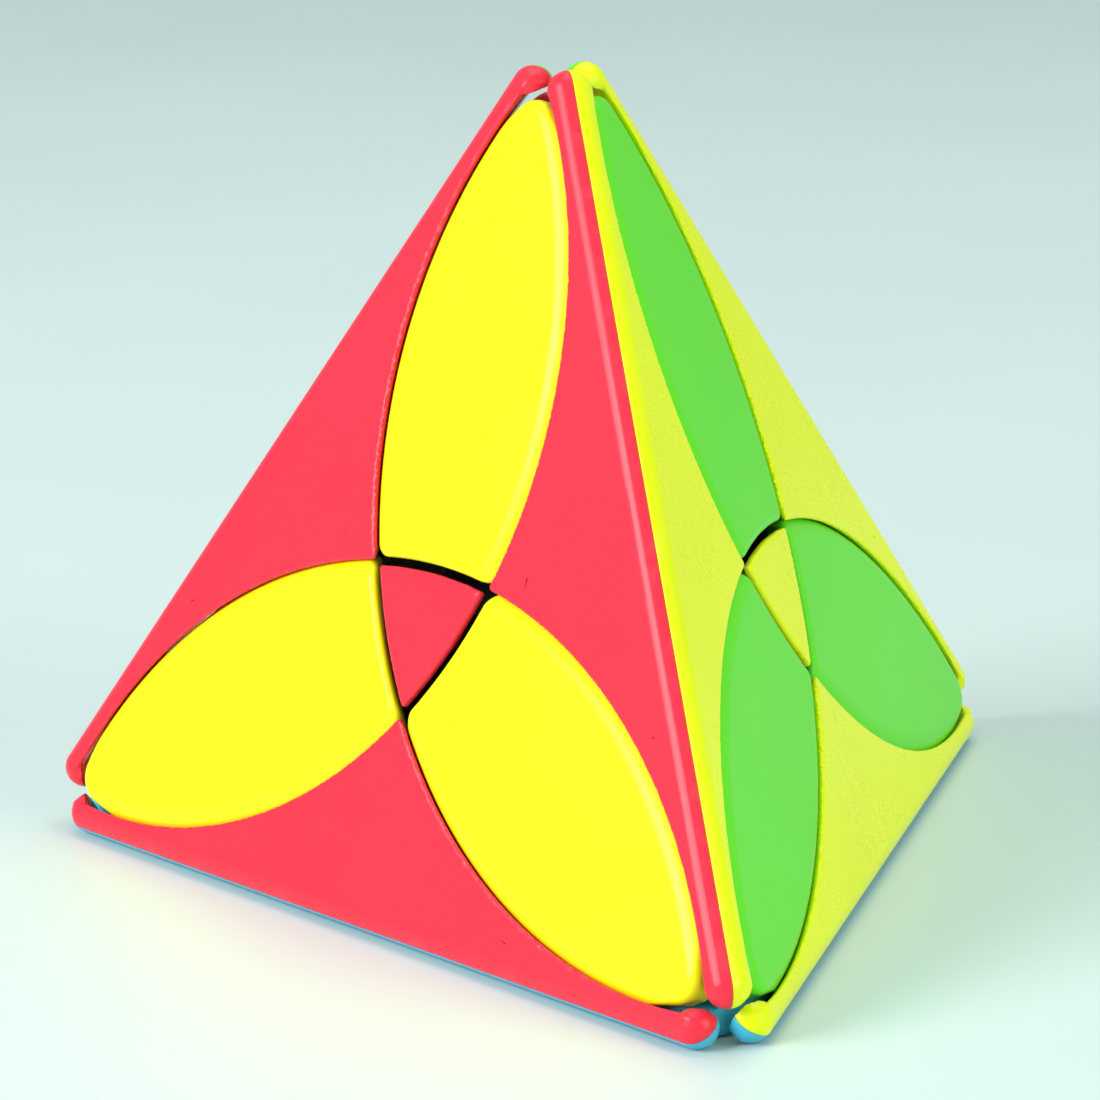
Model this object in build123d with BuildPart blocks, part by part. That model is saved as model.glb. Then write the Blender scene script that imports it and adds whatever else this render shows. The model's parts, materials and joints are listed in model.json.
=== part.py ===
"""Pyramid twisty puzzle: a tetrahedron whose four corners turn on a hidden core.

The frame: +Z up, origin at the centre of the base face, front face towards -Y.
Every cut is a sphere centred on a corner's turning axis, below the opposite face, so
each corner slides on its own sphere while the three edge pieces round it go with it.
"""
from build123d import *
from math import sqrt, radians, sin, cos, tan, degrees, acos
import os

os.makedirs("parts", exist_ok=True)

# ---- driving dimensions, mm ----
sharp_edge = 109.5        # edge of the tetrahedron before any rounding
arc_radius = 50.0         # radius of the curved seams, measured on a face
arc_peak = 36.6           # how far a seam reaches above the face's opposite edge
seam_half_gap = 0.15      # half of the clearance between pieces that slide
joint_gap = 0.05          # clearance between pieces fixed together
shell_depth = 3.0         # thickness of the coloured shells under a face
ridge_radius = 2.1        # rounding along the pyramid's edges
rod_setback = 8.1         # the edge pieces stop this far short of the sharp corner
rod_end_radius = 2.1      # rounding of the ridge's two ends, seen from the side
flank_length = 27.0       # more than an edge piece reaches down a face
wedge_half_length = 36.0  # half the length of the wedge under an edge's shells
petal_tip_radius = 2.3    # plan rounding of a petal's outer tip
petal_inner_radius = 0.8  # plan rounding of a petal's two inner corners

core_radius = 12.0        # ball in the middle of the core
tower_radius = 4.2        # threaded towers that take the axle screws
tower_top = 14.6
post_radius = 1.5         # posts that carry the centre caps
post_top = 21.0
boss_radius = 2.8         # boss under each centre cap
boss_bottom = 18.7
cap_corner_radius = 0.6   # plan rounding of a centre cap's corners
cap_thickness = 0.8       # thin, so that the edge pieces' necks pass under a cap's rim
foot_bottom = 14.9        # the feet of the edge pieces run round the core between these
foot_top = 17.8
foot_width = 3.8
foot_length = 10.0
neck_width = 2.0          # the neck joins a foot to its edge piece
neck_length = 8.0
neck_top = 25.0
neck_root = 1.0           # the neck starts this far inside the foot
foot_corner_radius = 0.6
ring_sweep = 120.0        # degrees of a ring that are ever needed at once
channel_half_angle = 5.9  # the slot cut in the corner bases for the necks to pass
channel_bottom = 17.0
channel_top = 24.05

screw_radius = 1.4
screw_bottom = 5.0
screw_head_radius = 2.9
screw_head_bottom = 31.0
screw_head_top = 33.5
driver_slot_width = 0.8
driver_slot_length = 3.6
driver_slot_depth = 1.0
base_bore_radius = 1.7    # hole in the corner base that turns on the screw
spring_seat = 19.0        # bottom of the spring well in the corner base
well_radius = 3.6
base_top = 42.0           # the corner base is cut flat here, under the petals
washer_radius = 3.3
washer_thickness = 0.6
spring_mean_radius = 2.45
spring_wire_radius = 0.35
spring_pitch = 2.2
peg_radius = 1.2          # pegs that hold the shells on their bases
peg_length = 3.5
peg_distances = (17.0, 32.0)  # from the face's centre towards the petal's corner
peg_clearance = 0.1

# ---- the tetrahedron and its cuts ----
height = sharp_edge * sqrt(2 / 3)
core_height = height / 4
face_inradius = sharp_edge / (2 * sqrt(3))
dihedral_half = acos(1 / 3) / 2
edge_axis_angle = degrees(acos(1 / sqrt(3)))  # between a corner's axis and its edges' axes
ridge_distance = sharp_edge / (2 * sqrt(2))   # core centre to the middle of a sharp edge

seam_centre_offset = arc_radius - arc_peak    # seam circle's centre, beyond the edge line
seam_centre_distance = face_inradius + seam_centre_offset
# the seam circle is the cut sphere's trace on the face, which places the sphere
sphere_drop = (face_inradius / 3 + seam_centre_offset) / (2 * sqrt(2) / 3)
sphere_offset = core_height + sphere_drop
sphere_to_face = core_height + sphere_offset / 3
sphere_radius = sqrt(arc_radius**2 + sphere_to_face**2)

# on a face, two seams cross here, measured from the face's centre
inner_crossing = (sqrt(4 * arc_radius**2 - 3 * seam_centre_distance**2) - seam_centre_distance) / 2
outer_crossing = (sqrt(4 * arc_radius**2 - 3 * seam_centre_distance**2) + seam_centre_distance) / 2

core_centre = Vector(0, 0, core_height)
corner_points = {
    "top": Vector(0, 0, height),
    "left": Vector(-sharp_edge / 2, -face_inradius, 0),
    "right": Vector(sharp_edge / 2, -face_inradius, 0),
    "back": Vector(0, 2 * face_inradius, 0),
}
# each face is named by where it is and keyed to the corner opposite it
faces_opposite = {"front": "back", "rightside": "left", "leftside": "right", "bottom": "top"}
edge_names = [
    ("top", "left"), ("top", "right"), ("top", "back"),
    ("left", "right"), ("right", "back"), ("back", "left"),
]


def corner_axis(corner):
    """Unit vector from the core centre to a corner."""
    return (corner_points[corner] - core_centre).normalized()


def face_corners(face):
    """The three corners of a face."""
    return [corner for corner in corner_points if corner != faces_opposite[face]]


def corner_faces(corner):
    """The three faces that meet at a corner."""
    return [face for face in faces_opposite if faces_opposite[face] != corner]


def face_normal(face):
    return corner_axis(faces_opposite[face]) * -1


def face_plane(face):
    """Plane on a face, origin at its centre, x towards its first corner."""
    centre = core_centre + face_normal(face) * core_height
    first = corner_points[face_corners(face)[0]]
    return Plane(origin=centre, x_dir=first - centre, z_dir=face_normal(face))


def on_face(face, corner, distance):
    """Place on a face's plane, at a distance from its centre towards a corner."""
    direction = face_plane(face).to_local_coords(corner_points[corner]).normalized()
    return (direction.X * distance, direction.Y * distance)


def side_direction(corner, beside):
    """Unit vector square to a corner's axis, on the side of another corner."""
    axis = corner_axis(corner)
    other = corner_axis(beside)
    return (other - axis * other.dot(axis)).normalized()


def reference_side(corner):
    """Unit vector square to a corner's axis, towards the first of the other corners."""
    return side_direction(corner, next(name for name in corner_points if name != corner))


def axis_plane(corner):
    """Plane through the core centre, square to a corner's axis."""
    return Plane(origin=core_centre, x_dir=reference_side(corner), z_dir=corner_axis(corner))


def edge_plane(first, second):
    """Plane through the core centre: z to the middle of an edge, x along the edge."""
    middle = (corner_points[first] + corner_points[second]) * 0.5
    along = corner_points[second] - corner_points[first]
    return Plane(origin=core_centre, x_dir=along, z_dir=middle - core_centre)


def cut_place(corner):
    """Place of a corner's cut sphere, turned so that its seam and poles stay unused."""
    axis = corner_axis(corner)
    centre = core_centre - axis * sphere_offset
    return Plane(origin=centre, x_dir=axis * -1, z_dir=reference_side(corner))


def outside_cut(corner):
    """Removes what a corner's cut sphere holds, with clearance."""
    with Locations(cut_place(corner)):
        Sphere(sphere_radius + seam_half_gap, mode=Mode.SUBTRACT)


def inside_cut(corner):
    """Keeps only what a corner's cut sphere holds, with clearance."""
    with Locations(cut_place(corner)):
        Sphere(sphere_radius - seam_half_gap, mode=Mode.INTERSECT)


def cut_channel(corner, beside):
    """Cuts a stretch of the slot round a corner's axis in which the edge pieces' necks run.

    It is centred on the middle of the edge from the corner to the one beside it.
    """
    around = Axis((0, 0, 0), corner_axis(corner))
    start = side_direction(corner, beside).rotate(around, -ring_sweep / 2)
    track = Plane(origin=core_centre, x_dir=start, z_dir=start.cross(corner_axis(corner)))
    low = 90 - edge_axis_angle - channel_half_angle
    high = 90 - edge_axis_angle + channel_half_angle
    corner_at = [
        (radius * cos(radians(angle)), radius * sin(radians(angle)))
        for angle, radius in (
            (low, channel_bottom), (low, channel_top), (high, channel_top), (high, channel_bottom),
        )
    ]
    with BuildSketch(track) as section:
        with BuildLine():
            Polyline(*corner_at, corner_at[0])
        make_face()
    turning_axis = Axis(core_centre, corner_axis(corner))
    revolve(section.sketch, axis=turning_axis, revolution_arc=ring_sweep, mode=Mode.SUBTRACT)


def finish(builder, label):
    """Label a finished piece and write it."""
    builder.part.label = label
    export_step(builder.part, f"parts/{label}.step")


# ---- petals: three round each corner, one on each face ----
def peg_places(face, corner):
    """Two pegs in line under a petal, as places on the face's plane."""
    return [on_face(face, corner, distance) for distance in peg_distances]


def seam_arc(face, owner, start, end):
    """Part of the seam that belongs to one corner, between two points on a face."""
    centre = Vector(*on_face(face, owner, -seam_centre_distance))
    halfway = (Vector(*start) + Vector(*end)) * 0.5 - centre
    ThreePointArc(start, centre + halfway.normalized() * arc_radius, end)


def make_petal(corner, face):
    """One petal: a lens between two seams, closed at the inner end by its own seam."""
    first, second = [name for name in face_corners(face) if name != corner]
    tip = on_face(face, corner, outer_crossing)
    near_first = on_face(face, second, -inner_crossing)
    near_second = on_face(face, first, -inner_crossing)
    with BuildPart() as petal:
        with BuildSketch(face_plane(face)) as outline:
            with BuildLine():
                seam_arc(face, first, tip, near_first)
                seam_arc(face, corner, near_first, near_second)
                seam_arc(face, second, near_second, tip)
            make_face()
            offset(amount=-seam_half_gap, kind=Kind.INTERSECTION)
            fillet(outline.vertices().sort_by_distance(tip)[0], radius=petal_tip_radius)
            fillet(outline.vertices().sort_by_distance(tip)[-2:], radius=petal_inner_radius)
        extrude(amount=-shell_depth)
        outside_cut(corner)
        with BuildSketch(face_plane(face).offset(-shell_depth)):
            with Locations(*peg_places(face, corner)):
                Circle(peg_radius)
        extrude(amount=-peg_length)
    return petal


petals = {}
for corner in corner_points:
    for face in corner_faces(corner):
        petals[corner, face] = make_petal(corner, face)
        finish(petals[corner, face], f"petal_{corner}_{face}")

# ---- edge pieces: two coloured shells on one inner foot ----
def section_plane(first, second):
    """Plane square to an edge, origin at the core centre, y out through the ridge."""
    outward = ((corner_points[first] + corner_points[second]) * 0.5 - core_centre).normalized()
    along = (corner_points[second] - corner_points[first]).normalized()
    return Plane(origin=core_centre, x_dir=outward.cross(along), z_dir=along)


def cut_between(first, second):
    """Trims an edge piece by all four cut spheres."""
    for corner in corner_points:
        if corner in (first, second):
            outside_cut(corner)
        else:
            inside_cut(corner)


def shell_points(side):
    """Corners of a shell's section, from the top of the split line round its outside."""
    down_face = Vector(side * sin(dihedral_half), -cos(dihedral_half))
    square_out = Vector(side * cos(dihedral_half), sin(dihedral_half))
    split = side * joint_gap / 2
    ridge_axis = Vector(0, ridge_distance - ridge_radius / sin(dihedral_half))
    ridge_start = ridge_axis + Vector(split, sqrt(ridge_radius**2 - split**2))
    tangent = ridge_axis + square_out * ridge_radius
    face_end = Vector(0, ridge_distance) + down_face * flank_length
    inner_end = face_end - square_out * shell_depth
    split_depth = shell_depth / sin(dihedral_half) + abs(split) / tan(dihedral_half)
    return [ridge_start, tangent, face_end, inner_end, Vector(split, ridge_distance - split_depth)]


def make_shell(first, second, face):
    """One coloured half of an edge piece, with its share of the rounded ridge."""
    plane = section_plane(first, second)
    side = 1 if plane.to_local_coords(face_plane(face).origin).X > 0 else -1
    half_length = sharp_edge / 2 - rod_setback
    ridge_top = ridge_distance - ridge_radius / sin(dihedral_half) + ridge_radius
    points = shell_points(side)
    with BuildPart() as shell:
        with BuildSketch(plane):
            with BuildLine():
                RadiusArc(points[0], points[1], ridge_radius * side)
                Polyline(*points[1:], points[0])
            make_face()
        extrude(amount=half_length, both=True)
        with BuildSketch(Plane(origin=core_centre, x_dir=plane.z_dir, z_dir=plane.x_dir)):
            RectangleRounded(2 * half_length, 2 * ridge_top, rod_end_radius)
        extrude(amount=flank_length, both=True, mode=Mode.INTERSECT)
        cut_between(first, second)
    return shell


def make_foot(first, second):
    """Inner piece of an edge: the wedge under its shells, a neck, and a foot on the core."""
    wedge_top = ridge_distance - (shell_depth + joint_gap) / sin(dihedral_half)
    reach = flank_length * tan(dihedral_half)
    radial = edge_plane(first, second)
    with BuildPart() as foot:
        with BuildSketch(section_plane(first, second)):
            Polygon((0, wedge_top), (-reach, wedge_top - flank_length),
                    (reach, wedge_top - flank_length), align=None)
        extrude(amount=wedge_half_length, both=True)
        cut_between(first, second)
        with BuildSketch(radial.offset(foot_top - neck_root)):
            RectangleRounded(neck_width, neck_length, foot_corner_radius)
        extrude(amount=neck_top - foot_top + neck_root)
        with BuildSketch(radial.offset(foot_bottom)):
            RectangleRounded(foot_width, foot_length, foot_corner_radius)
        extrude(amount=foot_top - foot_bottom)
    return foot


for first, second in edge_names:
    finish(make_foot(first, second), f"edge_foot_{first}_{second}")
    for face in faces_opposite:
        if first in face_corners(face) and second in face_corners(face):
            finish(make_shell(first, second, face), f"edge_shell_{first}_{second}_{face}")


# ---- corner bases: they turn on the axle screws and carry the petals ----
def make_base(corner):
    turning = axis_plane(corner)
    with BuildPart() as base:
        with BuildSketch(turning):
            Circle(sharp_edge / 2)
        extrude(amount=base_top)
        for face in corner_faces(corner):
            split(bisect_by=face_plane(face).offset(-shell_depth - joint_gap), keep=Keep.BOTTOM)
        for other in corner_points:
            if other != corner:
                inside_cut(other)
                cut_channel(other, corner)
        outside_cut(corner)
        with BuildSketch(turning):
            Circle(base_bore_radius)
        extrude(amount=base_top, mode=Mode.SUBTRACT)
        with BuildSketch(turning.offset(spring_seat)):
            Circle(well_radius)
        extrude(amount=base_top - spring_seat, mode=Mode.SUBTRACT)
        for face in corner_faces(corner):
            with BuildSketch(face_plane(face).offset(-shell_depth)):
                with Locations(*peg_places(face, corner)):
                    Circle(peg_radius + peg_clearance)
            extrude(amount=-peg_length - peg_clearance, mode=Mode.SUBTRACT)
    return base


for corner in corner_points:
    finish(make_base(corner), f"corner_base_{corner}")


# ---- centre caps: small curved triangles fixed to the core's posts ----
def make_cap(face):
    corners = face_corners(face)
    meeting = [on_face(face, corner, -inner_crossing) for corner in corners]
    with BuildPart() as cap:
        with BuildSketch(face_plane(face)) as outline:
            with BuildLine():
                for index, corner in enumerate(corners):
                    seam_arc(face, corner, meeting[index - 1], meeting[index - 2])
            make_face()
            offset(amount=-seam_half_gap, kind=Kind.INTERSECTION)
            fillet(outline.vertices(), radius=cap_corner_radius)
        extrude(amount=-cap_thickness)
        with BuildSketch(face_plane(face).offset(boss_bottom - core_height)):
            Circle(boss_radius)
        extrude(amount=core_height - cap_thickness - boss_bottom)
        with BuildSketch(face_plane(face).offset(boss_bottom - core_height)):
            Circle(post_radius + joint_gap)
        extrude(amount=post_top - boss_bottom + joint_gap, mode=Mode.SUBTRACT)
    return cap


for face in faces_opposite:
    finish(make_cap(face), f"centre_cap_{face}")

# ---- the core: a ball with four threaded towers and four posts ----
with BuildPart() as core:
    with Locations(core_centre):
        Sphere(core_radius)
    for corner in corner_points:
        with BuildSketch(axis_plane(corner)):
            Circle(tower_radius)
        extrude(amount=tower_top)
    for corner in corner_points:
        with BuildSketch(axis_plane(corner)):
            Circle(post_radius)
        extrude(amount=-post_top)
    for corner in corner_points:
        with BuildSketch(axis_plane(corner).offset(screw_bottom - joint_gap)):
            Circle(screw_radius + joint_gap)
        extrude(amount=tower_top, mode=Mode.SUBTRACT)
finish(core, "core")

# ---- axle screws: four alike, one through each corner base into its tower ----
with BuildPart() as axle_screws:
    for corner in corner_points:
        turning = axis_plane(corner)
        with BuildSketch(turning.offset(screw_bottom)):
            Circle(screw_radius)
        extrude(amount=screw_head_bottom - screw_bottom)
        with BuildSketch(turning.offset(screw_head_bottom)):
            Circle(screw_head_radius)
        extrude(amount=screw_head_top - screw_head_bottom)
        with BuildSketch(turning.offset(screw_head_top - driver_slot_depth)):
            Rectangle(driver_slot_length, driver_slot_width)
            Rectangle(driver_slot_width, driver_slot_length)
        extrude(amount=2 * driver_slot_depth, mode=Mode.SUBTRACT)
finish(axle_screws, "axle_screws")


# ---- washer and spring under each screw head ----
def make_washer(corner):
    with BuildPart() as washer:
        with BuildSketch(axis_plane(corner).offset(spring_seat)):
            Circle(washer_radius)
            Circle(base_bore_radius, mode=Mode.SUBTRACT)
        extrude(amount=washer_thickness)
    return washer


def make_spring(corner):
    low = spring_seat + washer_thickness + spring_wire_radius
    high = screw_head_bottom - spring_wire_radius
    along = corner_axis(corner)
    with BuildPart() as spring:
        with BuildLine() as coil:
            Helix(spring_pitch, high - low, spring_mean_radius,
                  center=core_centre + along * low, direction=along)
        with BuildSketch(Plane(origin=coil.line @ 0, z_dir=coil.line % 0)):
            Circle(spring_wire_radius)
        sweep(path=coil.line, is_frenet=True)
    return spring


for corner in corner_points:
    finish(make_washer(corner), f"washer_{corner}")
    finish(make_spring(corner), f"spring_{corner}")
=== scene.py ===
"""Pyramid twisty puzzle: the moulded shells, their plastics, and a plain studio.

The coloured shells are meshed here, in millimetres, as the zero surfaces of rounded
intersections of the face planes and the cut spheres, so their rims and tips are true
roundings. Everything inside the puzzle keeps its CAD shape.
"""
import json
import math

import bmesh
import bpy
import numpy as np
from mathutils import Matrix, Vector


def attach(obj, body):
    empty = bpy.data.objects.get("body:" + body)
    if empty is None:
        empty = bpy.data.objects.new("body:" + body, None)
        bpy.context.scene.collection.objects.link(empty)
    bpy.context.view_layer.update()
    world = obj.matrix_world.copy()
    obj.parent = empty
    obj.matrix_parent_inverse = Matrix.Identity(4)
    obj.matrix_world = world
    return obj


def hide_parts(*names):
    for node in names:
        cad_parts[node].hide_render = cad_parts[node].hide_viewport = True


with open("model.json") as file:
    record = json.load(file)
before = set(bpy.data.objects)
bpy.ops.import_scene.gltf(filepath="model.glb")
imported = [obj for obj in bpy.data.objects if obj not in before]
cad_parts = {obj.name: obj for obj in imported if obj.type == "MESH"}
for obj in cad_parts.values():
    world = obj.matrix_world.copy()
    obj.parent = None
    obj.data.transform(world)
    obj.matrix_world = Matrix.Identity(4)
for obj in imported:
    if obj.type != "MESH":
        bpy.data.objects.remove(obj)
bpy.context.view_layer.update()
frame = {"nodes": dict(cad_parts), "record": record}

MM = 0.001

# ---- driving dimensions, mm: the same design as the CAD frame ----
SHARP_EDGE = 109.5        # edge of the tetrahedron before any rounding
ARC_RADIUS = 50.0         # the curved seams, measured on a face
ARC_PEAK = 36.6           # how far a seam reaches above the opposite edge
SEAM_HALF_GAP = 0.08      # finer than the frame's 0.15, as the moulded shells meet
SHELL_DEPTH = 3.0
RIDGE_RADIUS = 2.1
ROD_SETBACK = 8.1         # the edge pieces stop this far short of the sharp corner

PETAL_RIM = 1.1           # rounding of a petal's rim
PETAL_TIP = 3.0           # rounding of its outer tip, seen from above
PETAL_TIP_FLARE = 10.0    # degrees that the tip's upright end opens more than the seams
PLATE_RIM = 0.5           # rounding of an edge shell's rim
BALL_CLEARANCE = 0.12     # room that the petals leave for the balls beside them
BALL_FREE_RADIUS = 54.0   # a ball keeps only what passes outside the petals' tips in a turn
CAP_RIM = 0.35            # rounding of a centre cap's rim
CAP_THICKNESS = 0.8
CAP_GAP = 0.15            # a cap stops this far inside its seams, on upright walls
NECK_ROOM_TOP = 23.2      # under the petals, the edge pieces' necks run inside this radius
NECK_ROOM_ANGLE = 60.6    # and within this angle of the axis that they turn on
HIDDEN_RIM = 0.2          # rounding of edges under the shells
SPLIT_CHAMFER = 0.10      # the fine groove between an edge piece's two colours
SPLIT_GAP = 0.02
PEG_RADIUS = 1.2
PEG_LENGTH = 3.5
PEG_PLACES = (17.0, 32.0)
BOSS_RADIUS = 2.8
BOSS_BOTTOM = 18.7
MESH_STEP = 0.3           # spacing of the grid that the shells are meshed on
MESH_MARGIN = 0.6         # empty grid kept round a shape
FLAT_ANGLE = 0.03         # degrees under which neighbouring faces become one
SHARP_ANGLE = 42          # degrees over which an edge is shaded sharp
RIM_FADE = 0.25           # how far a normal leans, as 1 - cosine, where a rim is full

HEIGHT = SHARP_EDGE * math.sqrt(2 / 3)
CORE_HEIGHT = HEIGHT / 4
FACE_INRADIUS = SHARP_EDGE / (2 * math.sqrt(3))
DIHEDRAL_HALF = math.acos(1 / 3) / 2
RIDGE_DISTANCE = SHARP_EDGE / (2 * math.sqrt(2))
SEAM_CENTRE_OFFSET = ARC_RADIUS - ARC_PEAK
SEAM_CENTRE_DISTANCE = FACE_INRADIUS + SEAM_CENTRE_OFFSET
SPHERE_OFFSET = CORE_HEIGHT + (FACE_INRADIUS / 3 + SEAM_CENTRE_OFFSET) * 3 / (2 * math.sqrt(2))
SPHERE_RADIUS = math.hypot(ARC_RADIUS, CORE_HEIGHT + SPHERE_OFFSET / 3)
# each edge piece ends in two balls, this far from its middle and from the core's centre
BALL_ALONG = SHARP_EDGE / 2 - ROD_SETBACK - RIDGE_RADIUS
BALL_OUT = RIDGE_DISTANCE - RIDGE_RADIUS / math.sin(DIHEDRAL_HALF)

CORE = np.array((0.0, 0.0, CORE_HEIGHT))
CORNERS = {
    "top": np.array((0.0, 0.0, HEIGHT)),
    "left": np.array((-SHARP_EDGE / 2, -FACE_INRADIUS, 0.0)),
    "right": np.array((SHARP_EDGE / 2, -FACE_INRADIUS, 0.0)),
    "back": np.array((0.0, 2 * FACE_INRADIUS, 0.0)),
}
# each face is named by where it is and keyed to the corner opposite it
OPPOSITE = {"front": "back", "rightside": "left", "leftside": "right", "bottom": "top"}
EDGES = (("top", "left"), ("top", "right"), ("top", "back"),
         ("left", "right"), ("right", "back"), ("back", "left"))


def unit(vector):
    return vector / np.linalg.norm(vector)


def axis_of(corner):
    """Direction from the core's centre to a corner, the axis that the corner turns on."""
    return unit(CORNERS[corner] - CORE)


def corners_of(face):
    return [corner for corner in CORNERS if corner != OPPOSITE[face]]


class Place:
    """A local frame: an origin and three unit axes, as rows."""

    def __init__(self, origin, *axes):
        self.origin = origin
        self.axes = np.array(axes)

    def local(self, points):
        return (points - self.origin) @ self.axes.T

    def world(self, points):
        return points @ self.axes + self.origin

    def mirrored(self):
        return np.linalg.det(self.axes) < 0


def face_place(face, corner):
    """Origin at a face's centre: x towards one of its corners, z out of the face."""
    outward = -axis_of(OPPOSITE[face])
    centre = CORE + outward * CORE_HEIGHT
    towards = unit(CORNERS[corner] - centre)
    return Place(centre, towards, np.cross(outward, towards), outward)


def edge_place(first, second, face):
    """Origin at the core's centre: x along the edge, y towards the face, z out of the ridge."""
    along = unit(CORNERS[second] - CORNERS[first])
    outward = unit((CORNERS[first] + CORNERS[second]) / 2 - CORE)
    sideways = -axis_of(OPPOSITE[face])
    sideways = unit(sideways - outward * (sideways @ outward))
    return Place(CORE, along, sideways, outward)


# ---- solid shapes as distances: negative inside ----
def rounded(parts, radius):
    """Where all of the parts overlap, with every edge between them rounded."""
    stack = np.stack(parts) + radius
    outside = np.linalg.norm(np.maximum(stack, 0), axis=0)
    return outside + np.minimum(stack.max(axis=0), 0) - radius


def beyond_cut(points, place, corner):
    """Distance to the side of a corner's cut that turns with the corner."""
    centre = place.local(CORE - axis_of(corner) * SPHERE_OFFSET)
    return SPHERE_RADIUS + SEAM_HALF_GAP - np.linalg.norm(points - centre, axis=1)


def within_cut(points, place, corner):
    """Distance to the side of a corner's cut that stays with the core."""
    centre = place.local(CORE - axis_of(corner) * SPHERE_OFFSET)
    return np.linalg.norm(points - centre, axis=1) - SPHERE_RADIUS + SEAM_HALF_GAP


def round_bar(points, x, radius, low, high):
    """Distance to a round bar along z that stands at x."""
    across = np.hypot(points[:, 0] - x, points[:, 1]) - radius
    along = np.maximum(points[:, 2] - high, low - points[:, 2])
    return rounded([across, along], HIDDEN_RIM)


def rounded_wedge(depth, side, half_angle, radius):
    """Distance to a wedge that opens with depth, whose nose is a circle round depth zero."""
    along, square = math.sin(half_angle), math.cos(half_angle)
    flank = side * square - depth * along
    down = side * along + depth * square
    return np.where(down > 0, flank, np.hypot(side, depth)) - radius


def petal_tip(points):
    """Distance to the upright walls round a petal's outer tip, in line with its two seams."""
    reach = ARC_RADIUS - SEAM_HALF_GAP - PETAL_TIP
    half = SEAM_CENTRE_DISTANCE * math.sqrt(3) / 2
    middle = SEAM_CENTRE_DISTANCE / 2 + math.sqrt(reach**2 - half**2)
    opening = math.pi / 2 - math.asin(half / reach) + math.radians(PETAL_TIP_FLARE)
    return rounded_wedge(middle - points[:, 0], np.abs(points[:, 1]), opening, PETAL_TIP)


def from_axis(points, place, corner):
    """Height of points along a corner's axis, from the core's centre, and distance from it."""
    offset = points - place.local(CORE)
    axis = place.axes @ axis_of(corner)
    heights = offset @ axis
    return heights, np.linalg.norm(offset - heights[:, None] * axis, axis=1)


def neck_room(points, place, corner):
    """Distance to the room in which the edge pieces' necks run round a corner's axis."""
    heights, acrosses = from_axis(points, place, corner)
    limit = math.radians(NECK_ROOM_ANGLE)
    cone = acrosses * math.cos(limit) - heights * math.sin(limit)
    return np.maximum(np.hypot(heights, acrosses) - NECK_ROOM_TOP, cone)


def ball_centre(first, second):
    """Centre of the ball at an edge piece's second end."""
    edge = edge_place(first, second, next(face for face in OPPOSITE if first in corners_of(face)
                                          and second in corners_of(face)))
    return edge.world(np.array((BALL_ALONG, 0, BALL_OUT)))


def petal_distance(points, place, corner, face):
    """Distance to a petal: seams and an upright tip, kept in its own third of the corner."""
    first, second = [name for name in corners_of(face) if name != corner]
    side = np.maximum(within_cut(points, place, first), within_cut(points, place, second))
    side = np.maximum(side, petal_tip(points))
    top = rounded([side, beyond_cut(points, place, corner), points[:, 2]], PETAL_RIM)
    hidden = [top, -points[:, 2] - SHELL_DEPTH]
    for other in CORNERS:
        if other != corner:
            ball = place.local(ball_centre(other, corner))
            hidden.append(RIDGE_RADIUS + BALL_CLEARANCE - np.linalg.norm(points - ball, axis=1))
    for other in (first, second):
        hidden.append(-neck_room(points, place, other))
        edge = edge_place(corner, other, face)
        sideways = place.axes @ edge.axes[1]
        hidden.append(SEAM_HALF_GAP - (points - place.local(CORE)) @ sideways)
    shape = rounded(hidden, HIDDEN_RIM)
    for x in PEG_PLACES:
        peg = round_bar(points, x, PEG_RADIUS, -SHELL_DEPTH - PEG_LENGTH, -SHELL_DEPTH / 2)
        shape = np.minimum(shape, peg)
    return shape


def cap_distance(points, place, face):
    """Distance to a centre cap: a thin plate with upright walls, on a round boss."""
    cuts = []
    for corner in corners_of(face):
        centre = place.local(CORE - axis_of(corner) * SPHERE_OFFSET)[:2]
        cuts.append(np.linalg.norm(points[:, :2] - centre, axis=1) - ARC_RADIUS + CAP_GAP)
    top = rounded(cuts + [points[:, 2]], CAP_RIM)
    shape = rounded([top, -points[:, 2] - CAP_THICKNESS], HIDDEN_RIM)
    boss = round_bar(points, 0, BOSS_RADIUS, BOSS_BOTTOM - CORE_HEIGHT, -CAP_THICKNESS / 2)
    return np.minimum(shape, boss)


def shell_distance(points, place, first, second):
    """Distance to both halves of an edge piece: x along, y sideways, z out of the ridge."""
    along, side, out = np.abs(points[:, 0]), np.abs(points[:, 1]), points[:, 2]
    wedge = rounded_wedge(BALL_OUT - out, side, DIHEDRAL_HALF, RIDGE_RADIUS)
    rod = rounded([wedge, along - BALL_ALONG - RIDGE_RADIUS], RIDGE_RADIUS)
    cuts = [rod]
    for corner in CORNERS:
        cut = beyond_cut if corner in (first, second) else within_cut
        cuts.append(cut(points, place, corner))
    outside = rounded(cuts, PLATE_RIM)
    ball = np.sqrt((along - BALL_ALONG)**2 + side**2 + (out - BALL_OUT)**2) - RIDGE_RADIUS
    for corner in (first, second):
        free = BALL_FREE_RADIUS - from_axis(points, place, corner)[1]
        ball = np.maximum(ball, np.minimum(beyond_cut(points, place, corner), free))
    outside = np.minimum(outside, ball)
    inner = side * math.cos(DIHEDRAL_HALF) + (out - RIDGE_DISTANCE) * math.sin(DIHEDRAL_HALF)
    return rounded([outside, -inner - SHELL_DEPTH], HIDDEN_RIM)


# ---- meshing ----
def grid_axis(low, high, phase=0.0):
    """Grid lines from low to high; with a phase of a half, zero lies midway between two."""
    first = math.floor(low / MESH_STEP)
    last = math.ceil(high / MESH_STEP)
    return (np.arange(first, last + 1) + phase) * MESH_STEP


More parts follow.
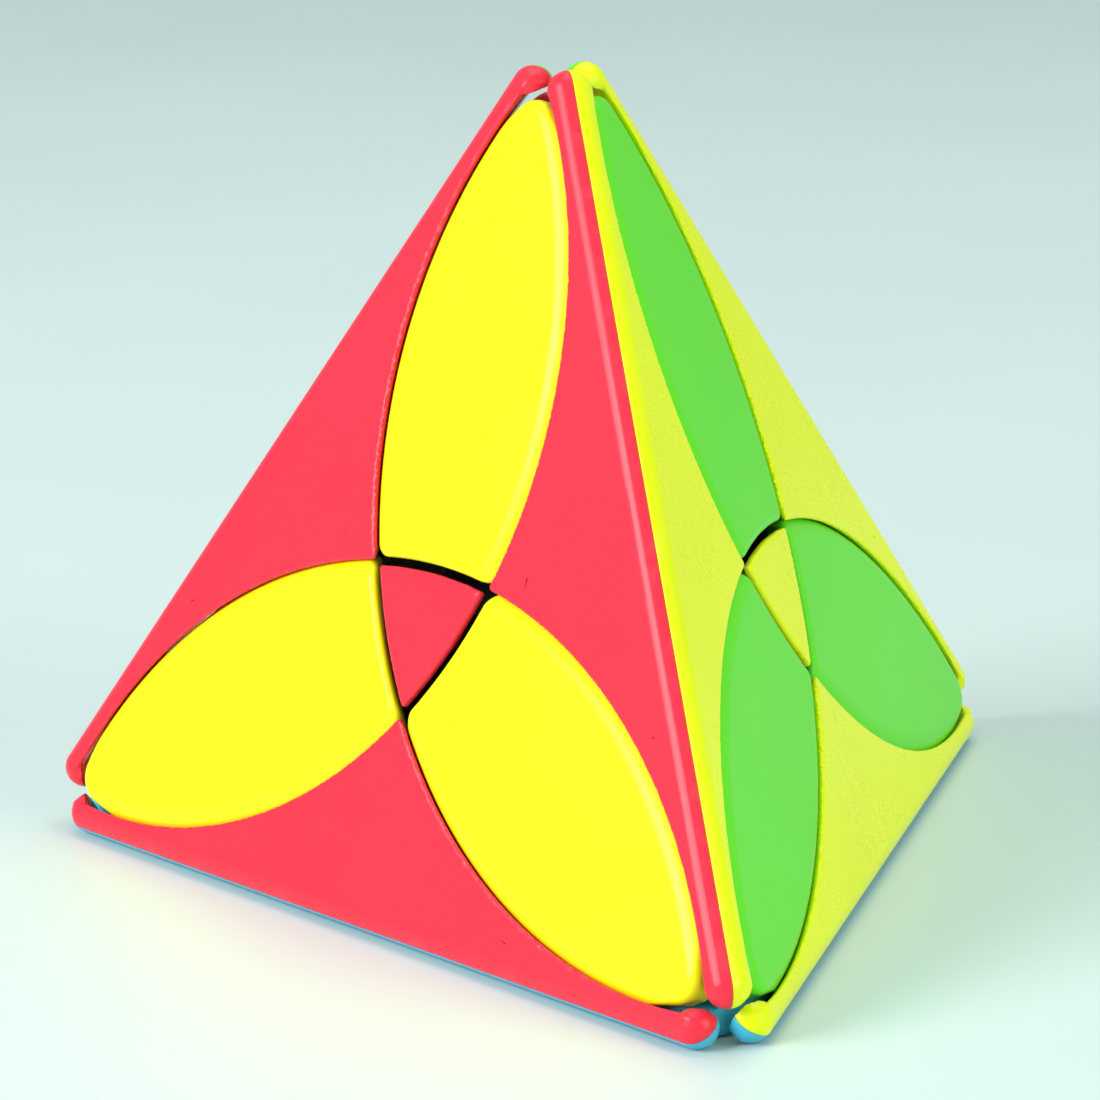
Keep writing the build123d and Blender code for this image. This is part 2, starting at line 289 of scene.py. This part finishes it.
def zero_surface(distance, axes):
    """Quads where distance() is zero, one vertex to a grid cell, as points and faces."""
    shape = tuple(len(axis) for axis in axes)
    cells = tuple(count - 1 for count in shape)
    nodes = np.stack(np.meshgrid(*axes, indexing="ij"), -1)
    value = distance(nodes.reshape(-1, 3)).reshape(shape)
    total = np.zeros(cells + (3,))
    hits = np.zeros(cells)
    found = []
    for axis in range(3):
        low = [slice(None)] * 3
        high = [slice(None)] * 3
        low[axis], high[axis] = slice(0, -1), slice(1, None)
        low_value, high_value = value[tuple(low)], value[tuple(high)]
        index = np.argwhere((low_value < 0) != (high_value < 0))
        at = tuple(index.T)
        share = low_value[at] / (low_value[at] - high_value[at])
        point = nodes[at].copy()
        point[:, axis] += share * MESH_STEP
        around = []
        for step_u, step_v in ((0, 0), (-1, 0), (-1, -1), (0, -1)):
            cell = index.copy()
            cell[:, (axis + 1) % 3] += step_u
            cell[:, (axis + 2) % 3] += step_v
            inside = ((cell >= 0) & (cell < cells)).all(axis=1)
            kept = tuple(cell[inside].T)
            np.add.at(total, kept, point[inside])
            np.add.at(hits, kept, 1)
            around.append(np.where(inside[:, None], cell, -1))
        found.append((around, low_value[at] < 0))
    number = np.full(cells, -1)
    used = hits > 0
    number[used] = np.arange(used.sum())
    faces = []
    for around, rising in found:
        whole = np.all([cell[:, 0] >= 0 for cell in around], axis=0)
        quads = np.stack([number[tuple(cell[whole].T)] for cell in around], 1)
        quads[~rising[whole]] = quads[~rising[whole]][:, ::-1]
        faces.append(quads)
    return total[used] / hits[used][:, None], np.concatenate(faces)


def gradient(distance, points):
    reach = 1e-3
    slopes = []
    for axis in range(3):
        step = np.zeros(3)
        step[axis] = reach
        slopes.append((distance(points + step) - distance(points - step)) / (2 * reach))
    return np.stack(slopes, 1)


def settle(distance, points):
    """Moves points onto the zero surface and returns them with its normals."""
    for _ in range(5):
        slope = gradient(distance, points)
        size = np.maximum((slope**2).sum(axis=1), 0.05)
        move = (distance(points) / size)[:, None] * slope
        points = points - np.clip(move, -MESH_STEP / 2, MESH_STEP / 2)
    slope = gradient(distance, points)
    return points, slope / np.linalg.norm(slope, axis=1)[:, None]


def shaped_mesh(distance, axes, outward):
    """A bmesh of a shape whose flats are single faces, with its rims marked as such."""
    points, quads = zero_surface(distance, axes)
    points, normals = settle(distance, points)
    rim = np.clip((1 - normals @ outward) / RIM_FADE, 0, 1)
    mesh = bmesh.new()
    layer = mesh.verts.layers.float.new("rim")
    verts = [mesh.verts.new(point) for point in points]
    for vert, value in zip(verts, rim):
        vert[layer] = value
    for quad in quads:
        mesh.faces.new([verts[index] for index in quad])
    mesh.normal_update()
    bmesh.ops.dissolve_limit(mesh, angle_limit=math.radians(FLAT_ANGLE), verts=mesh.verts[:],
                             edges=mesh.edges[:], use_dissolve_boundaries=False)
    return mesh


def close_split(mesh):
    """Closes a shell's open side with a fine chamfer and a flat, where its other half meets it."""
    for vert in mesh.verts:
        if vert.is_boundary:
            vert.co.y = SPLIT_CHAMFER
    middle = RIDGE_DISTANCE - 2 * RIDGE_RADIUS
    rim = [edge for edge in mesh.edges if edge.is_boundary]
    made = bmesh.ops.extrude_edge_only(mesh, edges=rim)["geom"]
    mesh.normal_update()
    for vert in [part for part in made if isinstance(part, bmesh.types.BMVert)]:
        inward = Vector((0, 0, middle - vert.co.z))
        vert.co += inward.normalized() * min(SPLIT_CHAMFER - SPLIT_GAP, inward.length)
        vert.co.y = SPLIT_GAP
    edge_loop = [part for part in made if isinstance(part, bmesh.types.BMEdge) and part.is_boundary]
    bmesh.ops.holes_fill(mesh, edges=edge_loop, sides=0)
    bmesh.ops.recalc_face_normals(mesh, faces=mesh.faces[:])


def placed(mesh, place, name):
    """A Blender object of a shape, at its place on the puzzle, in metres."""
    copy = mesh.copy()
    points = place.world(np.array([vert.co[:] for vert in copy.verts])) * MM
    for vert, point in zip(copy.verts, points):
        vert.co = point
    if place.mirrored():
        bmesh.ops.reverse_faces(copy, faces=copy.faces[:])
    data = bpy.data.meshes.new(name)
    copy.to_mesh(data)
    copy.free()
    data.polygons.foreach_set("use_smooth", [True] * len(data.polygons))
    data.set_sharp_from_angle(angle=math.radians(SHARP_ANGLE))
    piece = bpy.data.objects.new(name, data)
    bpy.context.scene.collection.objects.link(piece)
    normals = piece.modifiers.new("flats_stay_flat", "WEIGHTED_NORMAL")
    normals.keep_sharp = True
    normals.weight = 100
    return piece


# ---- materials ----
class Nodes:
    """Short calls to build one material's node tree."""

    def __init__(self, name):
        self.material = bpy.data.materials.new(name)
        self.material.use_nodes = True
        self.tree = self.material.node_tree
        self.shader = self.tree.nodes["Principled BSDF"]
        self.place = self.tree.nodes.new("ShaderNodeTexCoord").outputs["Object"]

    def link(self, source, target):
        self.tree.links.new(source, target)

    def node(self, kind, **settings):
        made = self.tree.nodes.new("ShaderNode" + kind)
        for key, value in settings.items():
            setattr(made, key, value)
        return made

    def noise(self, size_mm, detail=3.0, stretch=(1, 1, 1), turn=(0, 0, 0)):
        """Noise whose features are about size_mm across."""
        mapping = self.node("Mapping")
        mapping.inputs["Scale"].default_value = stretch
        mapping.inputs["Rotation"].default_value = [math.radians(angle) for angle in turn]
        self.link(self.place, mapping.inputs["Vector"])
        made = self.node("TexNoise")
        made.inputs["Scale"].default_value = 1 / (size_mm * MM)
        made.inputs["Detail"].default_value = detail
        self.link(mapping.outputs["Vector"], made.inputs["Vector"])
        return made.outputs["Fac"]

    def spread(self, source, from_low, from_high, to_low, to_high):
        made = self.node("MapRange")
        for key, value in (("From Min", from_low), ("From Max", from_high),
                           ("To Min", to_low), ("To Max", to_high)):
            made.inputs[key].default_value = value
        self.link(source, made.inputs["Value"])
        return made.outputs["Result"]

    def maths(self, operation, first, second):
        made = self.node("Math", operation=operation)
        for socket, value in zip(made.inputs, (first, second)):
            if isinstance(value, (int, float)):
                socket.default_value = value
            else:
                self.link(value, socket)
        return made.outputs["Value"]

    def blend_colours(self, factor, first, second):
        made = self.node("Mix", data_type="RGBA")
        self.link(factor, made.inputs["Factor"])
        for socket, value in zip((made.inputs[6], made.inputs[7]), (first, second)):
            if isinstance(value, tuple):
                socket.default_value = value + (1.0,)
            else:
                self.link(value, socket)
        return made.outputs[2]

    def bump(self, layers):
        """Stacks bumps, each a source and the height in mm of its full range."""
        normal = None
        for source, height_mm in layers:
            made = self.node("Bump")
            made.inputs["Distance"].default_value = height_mm * MM
            self.link(source, made.inputs["Height"])
            if normal:
                self.link(normal, made.inputs["Normal"])
            normal = made.outputs["Normal"]
        self.link(normal, self.shader.inputs["Normal"])


def lighter(colour, amount):
    return tuple(channel + (1 - channel) * amount for channel in colour)


def darker(colour, amount):
    return tuple(channel * (1 - amount) for channel in colour)


def scratches(nodes, turn):
    """Sparse hairlines: thin ridges of a noise that is stretched along one direction."""
    lines = nodes.noise(1.1, detail=2.0, stretch=(1, 0.035, 1), turn=turn)
    near = nodes.maths("ABSOLUTE", nodes.maths("SUBTRACT", lines, 0.5), 0)
    thin = nodes.spread(near, 0.0, 0.006, 1.0, 0.0)
    patches = nodes.spread(nodes.noise(14, detail=1.0), 0.52, 0.66, 0.0, 1.0)
    return nodes.maths("MULTIPLY", thin, patches)


def moulded_plastic(name, colour, roughness):
    """Coloured ABS with a satin gloss, as it leaves a polished mould and after some use."""
    nodes = Nodes(name)
    rim = nodes.node("Attribute", attribute_name="rim").outputs["Fac"]
    cloud = nodes.spread(nodes.noise(26, detail=2.0), 0.3, 0.7, 0.0, 1.0)
    tone = nodes.blend_colours(cloud, darker(colour, 0.05), colour)
    patches = nodes.spread(nodes.noise(2.4, detail=5.0), 0.52, 0.68, 0.0, 0.05)
    worn = nodes.maths("MULTIPLY", rim, patches)
    tone = nodes.blend_colours(worn, tone, lighter(colour, 0.35))
    nodes.link(tone, nodes.shader.inputs["Base Color"])

    hairlines = scratches(nodes, (20, 35, 15))
    crossing = scratches(nodes, (70, 10, 80))
    handled = nodes.spread(nodes.noise(9, detail=4.0), 0.3, 0.7, roughness - 0.015, roughness + 0.02)
    grain = nodes.spread(nodes.noise(0.35, detail=2.0), 0.3, 0.7, -0.012, 0.012)
    rough = nodes.maths("ADD", handled, grain)
    rough = nodes.maths("ADD", rough, nodes.maths("MULTIPLY", worn, 0.5))
    marks = nodes.maths("ADD", hairlines, crossing)
    rough = nodes.maths("ADD", rough, nodes.maths("MULTIPLY", marks, 0.12))
    nodes.link(rough, nodes.shader.inputs["Roughness"])

    nodes.bump([
        (nodes.noise(17, detail=1.0), 0.010),
        (nodes.noise(0.22, detail=3.0), 0.0008),
        (nodes.maths("MULTIPLY", marks, -1.0), 0.0012),
    ])
    nodes.shader.inputs["IOR"].default_value = 1.53
    nodes.shader.inputs["Specular IOR Level"].default_value = 0.22
    nodes.shader.inputs["Subsurface Weight"].default_value = 0.06
    nodes.shader.inputs["Subsurface Radius"].default_value = (1.0, 1.0, 1.0)
    nodes.shader.inputs["Subsurface Scale"].default_value = 1.2 * MM
    return nodes.material


def inner_plastic(name):
    """Black glass-filled plastic of the hidden mechanism, finely eroded."""
    nodes = Nodes(name)
    cloud = nodes.spread(nodes.noise(6, detail=4.0), 0.3, 0.7, 0.0, 1.0)
    nodes.link(nodes.blend_colours(cloud, (0.012, 0.012, 0.013), (0.022, 0.022, 0.024)),
               nodes.shader.inputs["Base Color"])
    nodes.link(nodes.spread(nodes.noise(1.5, detail=4.0), 0.3, 0.7, 0.42, 0.6),
               nodes.shader.inputs["Roughness"])
    nodes.bump([(nodes.noise(0.3, detail=4.0), 0.006)])
    return nodes.material


def bright_steel(name):
    """Drawn and turned steel of the screws, springs and washers."""
    nodes = Nodes(name)
    cloud = nodes.spread(nodes.noise(1.6, detail=4.0), 0.3, 0.7, 0.0, 1.0)
    nodes.link(nodes.blend_colours(cloud, (0.50, 0.50, 0.51), (0.62, 0.62, 0.63)),
               nodes.shader.inputs["Base Color"])
    nodes.link(nodes.spread(nodes.noise(0.12, detail=3.0, stretch=(1, 1, 6)), 0.3, 0.7, 0.22, 0.38),
               nodes.shader.inputs["Roughness"])
    nodes.bump([(nodes.noise(0.12, detail=2.0, stretch=(1, 1, 6)), 0.002)])
    nodes.shader.inputs["Metallic"].default_value = 1.0
    return nodes.material


MATERIALS = {
    "petal_yellow": moulded_plastic("petal_yellow", (0.95, 0.90, 0.006), 0.30),
    "petal_green": moulded_plastic("petal_green", (0.135, 0.72, 0.022), 0.30),
    "petal_red": moulded_plastic("petal_red", (0.90, 0.030, 0.060), 0.30),
    "petal_blue": moulded_plastic("petal_blue", (0.06, 0.45, 0.65), 0.30),
    # shell_yellow is the petals' yellow plastic with painted shade and a painted green tint: less red than
    # petal_yellow, so dimmer and greener
    "shell_yellow": moulded_plastic("shell_yellow", (0.82, 0.90, 0.004), 0.28),
    "shell_green": moulded_plastic("shell_green", (0.135, 0.72, 0.022), 0.28),
    "shell_red": moulded_plastic("shell_red", (0.90, 0.030, 0.060), 0.28),
    "shell_blue": moulded_plastic("shell_blue", (0.06, 0.45, 0.65), 0.28),
    "inner_plastic": inner_plastic("inner_plastic"),
    "steel": bright_steel("steel"),
}
SLOT_OF = {part["node"]: part["material_slot"] for part in frame["record"]["subparts"]}
BODY_OF = {node: body for body, members in frame["record"]["behaviour"]["bodies"].items()
           for node in members}


def stand_in(mesh, place, node):
    """Puts a finished shell where its CAD node is and gives it that node's body and slot."""
    piece = placed(mesh, place, node + "_moulding")
    piece.data.materials.append(MATERIALS[SLOT_OF[node]])
    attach(piece, BODY_OF[node])
    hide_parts(node)
    return piece


# ---- petals ----
home = face_place("front", "top")
petal_mesh = shaped_mesh(
    lambda points: petal_distance(points, home, "top", "front"),
    (grid_axis(0, 57), grid_axis(-14, 14), grid_axis(-SHELL_DEPTH - PEG_LENGTH - MESH_MARGIN, MESH_MARGIN)),
    np.array((0, 0, 1)))
for face in OPPOSITE:
    for corner in corners_of(face):
        stand_in(petal_mesh, face_place(face, corner), f"petal_{corner}_{face}")

# ---- edge shells ----
home = edge_place("top", "left", "front")
face_outward = np.array((0, math.cos(DIHEDRAL_HALF), math.sin(DIHEDRAL_HALF)))
shell_mesh = shaped_mesh(
    lambda points: shell_distance(points, home, "top", "left"),
    (grid_axis(-47.4, 47.4), grid_axis(0, 18, phase=-0.5), grid_axis(11, 38.4)),
    face_outward)
close_split(shell_mesh)
for first, second in EDGES:
    for face in OPPOSITE:
        if first in corners_of(face) and second in corners_of(face):
            stand_in(shell_mesh, edge_place(first, second, face),
                     f"edge_shell_{first}_{second}_{face}")

# ---- centre caps ----
home = face_place("front", "top")
cap_mesh = shaped_mesh(
    lambda points: cap_distance(points, home, "front"),
    (grid_axis(-10, 10), grid_axis(-10, 10), grid_axis(BOSS_BOTTOM - CORE_HEIGHT - MESH_MARGIN, MESH_MARGIN)),
    np.array((0, 0, 1)))
for face in OPPOSITE:
    stand_in(cap_mesh, face_place(face, corners_of(face)[0]), f"centre_cap_{face}")

# ---- what keeps its CAD shape ----
for node, piece in frame["nodes"].items():
    if not piece.hide_render:
        for material_slot in piece.material_slots:
            material_slot.material = MATERIALS[SLOT_OF[node]]


# ---- floor, light and camera ----
def pale_floor():
    """A wide plain floor with the faint unevenness of a painted board."""
    half_size = 4.0
    mesh = bmesh.new()
    bmesh.ops.create_grid(mesh, x_segments=8, y_segments=8, size=half_size)
    data = bpy.data.meshes.new("floor")
    mesh.to_mesh(data)
    mesh.free()
    floor = bpy.data.objects.new("floor", data)
    bpy.context.scene.collection.objects.link(floor)
    nodes = Nodes("floor_paint")
    cloud = nodes.spread(nodes.noise(300, detail=2.0), 0.3, 0.7, 0.0, 1.0)
    nodes.link(nodes.blend_colours(cloud, (0.60, 0.72, 0.70), (0.64, 0.76, 0.74)),
               nodes.shader.inputs["Base Color"])
    nodes.link(nodes.spread(nodes.noise(60, detail=3.0), 0.3, 0.7, 0.36, 0.44),
               nodes.shader.inputs["Roughness"])
    nodes.bump([(nodes.noise(1.2, detail=3.0), 0.01)])
    data.materials.append(nodes.material)


def soft_box(name, place, aim, size, power, colour=(1, 1, 1)):
    """A square soft light of a size in metres that points at aim."""
    light = bpy.data.lights.new(name, "AREA")
    light.shape = "SQUARE"
    light.size = size
    light.energy = power
    light.color = colour
    lamp = bpy.data.objects.new(name, light)
    lamp.location = place
    lamp.rotation_euler = (Vector(aim) - Vector(place)).to_track_quat("-Z", "Y").to_euler()
    bpy.context.scene.collection.objects.link(lamp)


def studio():
    world = bpy.data.worlds.new("studio")
    world.use_nodes = True
    sky = world.node_tree.nodes["Background"]
    sky.inputs["Color"].default_value = (0.80, 0.95, 0.95, 1)
    sky.inputs["Strength"].default_value = 0.40
    bpy.context.scene.world = world
    middle = (0, 0, 0.03)
    soft_box("key", (-0.25, -0.95, 0.55), middle, 0.55, 12.0)
    soft_box("fill", (0.95, 0.15, 0.40), middle, 0.6, 5.0, (0.93, 1.0, 0.90))
    soft_box("overhead", (-0.1, 0.2, 1.1), middle, 0.9, 6.0)


def photo_camera():
    camera = bpy.data.cameras.new("camera")
    camera.sensor_width = 36.0
    camera.lens = 148.45
    camera.clip_start = 0.01
    holder = bpy.data.objects.new("camera", camera)
    holder.location = (0.3177, -0.2966, 0.1540)
    holder.rotation_euler = [math.radians(angle) for angle in (74.38, 1.82, 46.81)]
    bpy.context.scene.collection.objects.link(holder)
    bpy.context.scene.camera = holder


pale_floor()
studio()
photo_camera()
bpy.context.scene.view_settings.view_transform = "Standard"
